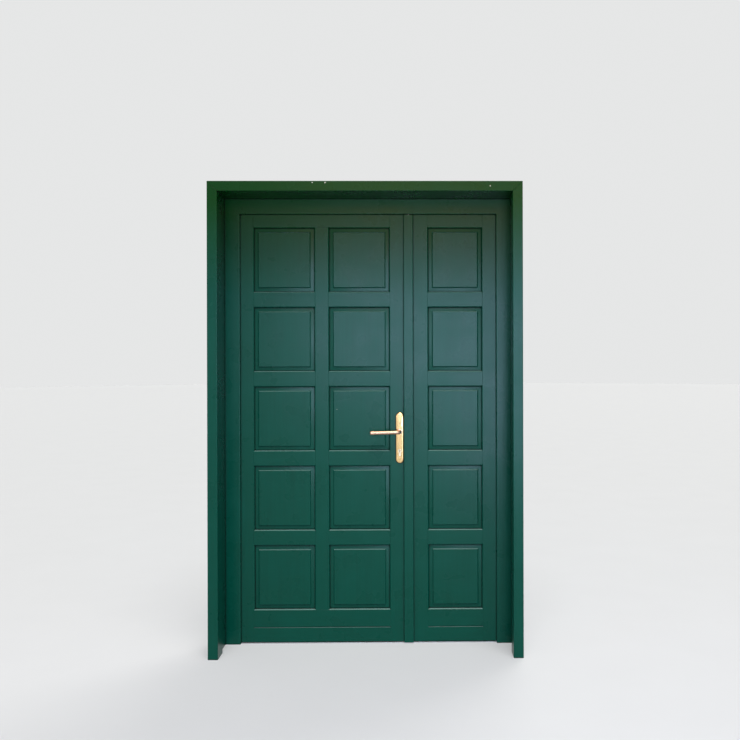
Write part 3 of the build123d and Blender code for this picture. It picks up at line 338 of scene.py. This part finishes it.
# The same enamel where the photo shows knocks, on the surround's head and on one panel, over a
# filled screw hole low on the right post, and round the handle plate
own_paint = {
    "surround_head": painted_timber("satin_enamel_knocked_on_the_head", LEVEL_GRAIN, knocks=HEAD_KNOCKS),
    "active_panels_row_3": painted_timber("satin_enamel_knocked_on_a_panel", UPRIGHT_GRAIN,
                                          knocks=PANEL_KNOCKS),
    "surround_post_right": painted_timber("satin_enamel_over_a_filled_hole", UPRIGHT_GRAIN,
                                          filled_hole=FILLED_HOLE),
    # Round the handle plate, a dark line of painted shadow
    "active_lock_stile": painted_timber("satin_enamel_painted_shadow_round_the_plate", UPRIGHT_GRAIN, shadow_round_plate=True),
}
# Cast brass, polished and clear-lacquered: bright, warm and pale, with buffing lines
brass = metal("lacquered_polished_brass", "#e9c68f", "#e4bb7d", rough_low=0.12, rough_high=0.18,
              grain=(1.0, 1.0, 0.06), lines_scale=900.0, lines_deep=0.01 * MM)
# The same brass on the levers, rubbed duller by hands; its pinker tone is a painted warm reflection
worn_brass_with_painted_reflection = metal("hand_worn_brass", "#d0ab93", "#c09b80", rough_low=0.28, rough_high=0.4,
                   grain=(0.06, 1.0, 1.0), lines_scale=900.0, lines_deep=0.01 * MM)
# Satin nickel over brass, wire-brushed before plating, so that its sheen is soft and warm
nickel = metal("satin_nickel_plate", "#c4b090", "#b4a080", rough_low=0.26, rough_high=0.38,
               grain=(1.0, 1.0, 0.1), lines_scale=1200.0, lines_deep=0.01 * MM)
# The inside of a keyway: brass blackened by oil and graphite, and made darker still as painted shade
oiled_keyway_painted_shade = metal("oiled_keyway_brass", "#1c1914", "#0d0c0a", rough_low=0.5, rough_high=0.7,
                     grain=(1.0, 0.1, 1.0), lines_scale=1500.0, lines_deep=0.02 * MM)
# Steel pressings, zinc-passivated and linished: grey, with a soft and uneven sheen
steel = metal("linished_zinc_steel", "#b9b9b6", "#a3a4a2", rough_low=0.3, rough_high=0.46,
              grain=(0.08, 1.0, 1.0), lines_scale=800.0, lines_deep=0.02 * MM)
# Extruded aluminium bar as it leaves the mill, with die lines along it
aluminium = metal("mill_finish_aluminium", "#b4b6b8", "#a0a2a4", rough_low=0.34, rough_high=0.5,
                  grain=(0.02, 1.0, 1.0), lines_scale=500.0, lines_deep=0.03 * MM)
rubber = extruded_rubber("extruded_epdm_rubber")

# Timber by the start of its nodes' names, and the words in the names of the level pieces
TIMBER = (
    "active_hinge_stile", "active_lock_stile", "active_top", "active_bottom", "active_kick",
    "active_muntin", "active_cross", "active_panels", "passive_hinge_stile", "passive_meeting",
    "passive_top", "passive_bottom", "passive_kick", "passive_cross", "passive_panel", "astragal",
    "frame_head", "frame_jamb", "lining_", "surround_")
LEVEL = ("rail", "head", "cross")
# Nodes that show as they are
AS_THEY_ARE = {
    nickel: ("cylinder_body", "lock_faceplate", "strike_plate", "latch_bolt", "dead_bolt",
             "flush_bolt_plates", "top_bolt", "bottom_bolt", "bolt_keeper"),
    steel: ("lock_case", "lock_hub", "spindle", "hinge_frame_leaves", "active_hinge_leaves",
            "passive_hinge_leaves", "hinge_pins"),
    aluminium: ("threshold_plate",),
    rubber: ("frame_seal",),
}


def merged_copy(node, name):
    """A node's shape with its loose triangles joined and its flat faces made whole."""
    piece = bpy.data.objects.new(name, frame["nodes"][node].data.copy())
    bpy.context.scene.collection.objects.link(piece)
    pick(piece)
    bpy.ops.object.mode_set(mode="EDIT")
    bpy.ops.mesh.select_all(action="SELECT")
    bpy.ops.mesh.remove_doubles(threshold=SAME_POINT)
    bpy.ops.mesh.dissolve_limited(angle_limit=SAME_FACE)
    bpy.ops.object.mode_set(mode="OBJECT")
    return piece


def stand_in(piece, node, finish):
    """A piece that shows in a node's place, moves with its body and has its finish."""
    piece.data.materials.clear()
    piece.data.materials.append(finish)
    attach(piece, BODY_OF[node])
    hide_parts(node)


def eased_piece(node, name, width, finish):
    """A node's shape with its sharp arrises eased: sanded before painting, or buffed if cast."""
    piece = merged_copy(node, name)
    ease = piece.modifiers.new("eased_arrises", "BEVEL")
    ease.width = width
    ease.segments = ARRIS_STEPS
    ease.limit_method = "ANGLE"
    ease.angle_limit = EASED_ANGLE
    bpy.ops.object.modifier_apply(modifier=ease.name)
    bpy.ops.object.shade_smooth_by_angle(angle=SHARP_ANGLE)
    flat = piece.modifiers.new("flat_faces_stay_flat", "WEIGHTED_NORMAL")
    flat.keep_sharp = True
    flat.weight = 100
    bpy.ops.object.modifier_apply(modifier=flat.name)
    stand_in(piece, node, finish)


def cross_cutter():
    """The shape of a cross driver's tip: four arms from a square core, each drawn in at its end."""
    bpy.ops.object.select_all(action="DESELECT")
    bpy.ops.mesh.primitive_cube_add(size=CORE_WIDE)
    tip = bpy.context.object
    bpy.ops.transform.resize(value=(1.0, 1.0, CORE_STRETCH))
    bpy.ops.object.transform_apply(location=True, rotation=True, scale=True)
    for direction in (Vector((1, 0, 0)), Vector((-1, 0, 0)), Vector((0, 1, 0)), Vector((0, -1, 0))):
        bpy.ops.object.mode_set(mode="EDIT")
        bpy.ops.mesh.select_all(action="DESELECT")
        bpy.ops.object.mode_set(mode="OBJECT")
        for face in tip.data.polygons:
            face.select = face.normal.dot(direction) > SAME_WAY and face.center.length < CORE_REACH
        bpy.ops.object.mode_set(mode="EDIT")
        bpy.ops.mesh.select_mode(type="FACE")
        bpy.ops.mesh.extrude_region_move(TRANSFORM_OT_translate={"value": direction * ARM_LONG})
        bpy.ops.transform.resize(value=(ARM_TAPER, ARM_TAPER, ARM_TAPER))
    bpy.ops.object.mode_set(mode="OBJECT")
    return tip


def loose_parts(mesh):
    """The points of each separate shape in a mesh."""
    parent = list(range(len(mesh.vertices)))

    def first_of(i):
        """The one point that stands for all the points joined to this one."""
        while parent[i] != i:
            parent[i] = parent[parent[i]]
            i = parent[i]
        return i

    for edge in mesh.edges:
        parent[first_of(edge.vertices[0])] = first_of(edge.vertices[1])
    parts = {}
    for vertex in mesh.vertices:
        parts.setdefault(first_of(vertex.index), []).append(vertex.co)
    return parts.values()


def screw_heads(mesh):
    """For each screw in a mesh: the middle of its head and the way its tip points."""
    heads = []
    for points in loose_parts(mesh):
        low = Vector([min(p[k] for p in points) for k in range(3)])
        high = Vector([max(p[k] for p in points) for k in range(3)])
        along = max(range(3), key=lambda k: high[k] - low[k])
        middle = (low + high) / 2
        ends = []
        for end in (low[along], high[along]):
            place = middle.copy()
            place[along] = end
            reach = max((p - place).length for p in points if abs(p[along] - end) < END_DEPTH)
            ends.append((reach, place))
        head = max(ends, key=lambda end: end[0])[1]
        heads.append((head, (middle - head).normalized()))
    return heads


def driven_screws(node, finish, cutter):
    """A node's screws with a cross recess in each head, every one stopped at its own angle."""
    piece = merged_copy(node, node + "_with_recesses")
    tips = []
    for i, (place, inward) in enumerate(screw_heads(piece.data)):
        tip = bpy.data.objects.new("driver_tip", cutter.data.copy())
        bpy.context.scene.collection.objects.link(tip)
        turn = inward.to_track_quat("Z", "Y").to_matrix().to_4x4() @ Matrix.Rotation(SCREW_STOP * i, 4, "Z")
        tip.data.transform(Matrix.Translation(place) @ turn)
        tips.append(tip)
    pick(tips[0])
    for tip in tips:
        tip.select_set(True)
    bpy.ops.object.join()
    cutting = bpy.context.object
    pick(piece)
    cut = piece.modifiers.new("cross_recesses", "BOOLEAN")
    cut.operation = "DIFFERENCE"
    cut.solver = "EXACT"
    cut.object = cutting
    bpy.ops.object.modifier_apply(modifier=cut.name)
    bpy.data.objects.remove(cutting, do_unlink=True)
    bpy.ops.object.shade_smooth_by_angle(angle=SHARP_ANGLE)
    stand_in(piece, node, finish)


def keyed_plug(node):
    """The cylinder's plug, with the walls of its keyway in oiled brass made black as painted shade."""
    piece = merged_copy(node, "cylinder_plug_with_keyway")
    bpy.ops.object.shade_smooth_by_angle(angle=SHARP_ANGLE)
    stand_in(piece, node, nickel)
    piece.data.materials.append(oiled_keyway_painted_shade)
    front = min(v.co.y for v in piece.data.vertices)
    back = max(v.co.y for v in piece.data.vertices)
    for face in piece.data.polygons:
        aside = abs(face.center.x - KEY_AXIS[0])
        above = abs(face.center.z - KEY_AXIS[2])
        inside = front + END_FACE < face.center.y < back - END_FACE
        if inside and aside < KEYWAY_HALF_WIDE and above < KEYWAY_HALF_HIGH:
            face.material_index = 1


for node in sorted(name for name in frame["nodes"] if name.startswith(TIMBER)):
    paint = own_paint.get(node, level_paint if any(word in node for word in LEVEL) else upright_paint)
    arris = PANEL_ARRIS if "panel" in node else TIMBER_ARRIS
    eased_piece(node, node + "_timber", arris, paint)
for node, finish in (("outer_backplate", brass), ("inner_backplate", brass),
                     ("outer_lever", worn_brass_with_painted_reflection), ("inner_lever", worn_brass_with_painted_reflection)):
    eased_piece(node, node + "_casting", BRASS_ARRIS, finish)

cutter = cross_cutter()
for node, finish in (("frame_side_screws", steel), ("active_hinge_screws", steel),
                     ("lock_screws", nickel), ("handle_screws", nickel)):
    driven_screws(node, finish, cutter)
bpy.data.objects.remove(cutter, do_unlink=True)
keyed_plug("cylinder_plug")

for finish, names in AS_THEY_ARE.items():
    for name in names:
        mesh = frame["nodes"][name].data
        mesh.materials.clear()
        mesh.materials.append(finish)


def studio_floor():
    """A pale matt floor, dull in the light that it throws back up."""
    bpy.ops.object.select_all(action="DESELECT")
    bpy.ops.mesh.primitive_circle_add(vertices=96, radius=40.0, fill_type="NGON")
    floor = bpy.context.object
    floor.name = "studio_floor"
    finish, tree, shader = new_finish("pale_matt_floor")
    here = add_node(tree, "ShaderNodeTexCoord").outputs["Object"]
    speck = add_node(tree, "ShaderNodeTexNoise", {"Scale": 3.0, "Detail": 4.0}, {"Vector": here})
    pale = add_node(tree, "ShaderNodeMix", {FIRST: linear("#a4a8ad"), SECOND: linear("#a9adb2")},
                    {FACTOR: speck.outputs["Fac"]}, data_type="RGBA")
    seen = seen_directly(tree)
    tone = add_node(tree, "ShaderNodeMix", {FIRST: linear("#67696a")},
                    {FACTOR: seen, SECOND: pale.outputs[MIXED]}, data_type="RGBA")
    tree.links.new(tone.outputs[MIXED], shader.inputs["Base Color"])
    shader.inputs["Emission Color"].default_value = linear("#f1f2f2")
    glow = add_node(tree, "ShaderNodeMath", {1: FLOOR_GLOW}, {0: seen}, operation="MULTIPLY")
    tree.links.new(glow.outputs[0], shader.inputs["Emission Strength"])
    shader.inputs["Roughness"].default_value = 0.9
    floor.data.materials.append(finish)


def studio_air():
    """Pale all round where it is seen, darker and warmer overhead, and dim as a light."""
    world = bpy.data.worlds.new("studio_light")
    bpy.context.scene.world = world
    world.use_nodes = True
    tree = world.node_tree
    back = tree.nodes["Background"]
    around = add_node(tree, "ShaderNodeTexCoord")
    way = add_node(tree, "ShaderNodeSeparateXYZ", {}, {0: around.outputs["Generated"]})
    overhead = add_node(tree, "ShaderNodeMapRange",
                        {FROM_LOW: 0.86, FROM_HIGH: 0.97, TO_LOW: 0.0, TO_HIGH: 1.0},
                        {VALUE: way.outputs["Z"]})
    tone = add_node(tree, "ShaderNodeMix", {FIRST: linear("#f3f4f4"), SECOND: linear("#6a5740")},
                    {FACTOR: overhead.outputs[0]}, data_type="RGBA")
    tree.links.new(tone.outputs[MIXED], back.inputs["Color"])
    strength = add_node(tree, "ShaderNodeMapRange",
                        {FROM_LOW: 0.0, FROM_HIGH: 1.0, TO_LOW: AIR_AS_LIGHT, TO_HIGH: AIR_AS_SEEN},
                        {VALUE: seen_directly(tree)})
    tree.links.new(strength.outputs[0], back.inputs["Strength"])


def lamp(name, kind, place, aim, energy, colour):
    """A lamp at a place, turned towards a point."""
    data = bpy.data.lights.new(name, kind)
    data.energy = energy
    data.color = linear(colour)[:3]
    obj = bpy.data.objects.new(name, data)
    bpy.context.scene.collection.objects.link(obj)
    obj.location = place
    obj.rotation_euler = (Vector(aim) - Vector(place)).to_track_quat("-Z", "Y").to_euler()
    return data


def soft_sun(name, place, energy, colour):
    """Daylight from one side, as soft as through thin cloud."""
    sun = lamp(name, "SUN", place, (0.0, 0.0, 0.0), energy, colour)
    sun.angle = math.radians(36)


def soft_box(name, place, aim, wide, high, watts, colour, spread=180):
    """A rectangular soft box, with a grid before it where its spread is narrow."""
    box = lamp(name, "AREA", place, aim, watts, colour)
    box.shape = "RECTANGLE"
    box.size = wide
    box.size_y = high
    box.spread = math.radians(spread)


def photo_camera():
    """The photograph's camera: a little below eye height, a little right of the door's middle."""
    lens = bpy.data.cameras.new("camera")
    lens.sensor_width = 36.0
    lens.lens = 39.93
    lens.shift_x = -0.0847
    lens.shift_y = -0.0163
    camera = bpy.data.objects.new("camera", lens)
    bpy.context.scene.collection.objects.link(camera)
    camera.location = (0.2610, -3.9251, 1.3631)
    pitch, yaw, roll = math.radians(-0.038), math.radians(-0.665), math.radians(-0.134)
    camera.rotation_mode = "XYZ"
    camera.rotation_euler = (math.radians(90) + pitch, 0.0, yaw)
    camera.rotation_euler.rotate_axis("Z", roll)
    bpy.context.scene.camera = camera


studio_floor()
studio_air()
# Light from overhead, soft and wide: it picks out the upward arrises
soft_sun("overhead_light", (0.5, -2.3, 4.7), energy=2.1, colour="#fffaf2")
# Cool boxes behind the camera and at the sides: their sheen shows how flat each face is
soft_box("window_soft_box", (0.3, -4.7, 1.65), aim=(0.2, 0.0, 1.3), wide=2.6, high=1.2,
         watts=25.0, colour="#c4daff", spread=90)
soft_box("low_window_soft_box", (1.1, -4.7, 0.65), aim=(0.4, 0.0, 0.9), wide=1.4, high=0.9,
         watts=4.3, colour="#c4daff", spread=60)
soft_box("right_soft_box", (4.0, -2.6, 1.6), aim=(0.0, 0.0, 1.1), wide=1.4, high=1.6,
         watts=20.0, colour="#c4dcff")
soft_box("left_soft_box", (-3.8, -2.6, 1.5), aim=(0.0, 0.0, 1.1), wide=1.4, high=1.6,
         watts=12.0, colour="#dfeaff")
# Warm boxes above: the upper panels and the heads mirror their tone
soft_box("upper_soft_box", (0.3, -4.6, 2.95), aim=(0.0, 0.0, 1.9), wide=2.6, high=1.2,
         watts=18.0, colour="#ffb66c")
soft_box("head_soft_box", (0.0, -1.6, 3.1), aim=(0.0, -0.2, 2.1), wide=1.6, high=0.5,
         watts=4.0, colour="#ffb054")
# Light from behind, for the inner side
soft_sun("back_light", (1.5, 3.0, 4.0), energy=1.4, colour="#fff8ee")
photo_camera()
bpy.context.scene.view_settings.view_transform = "Standard"
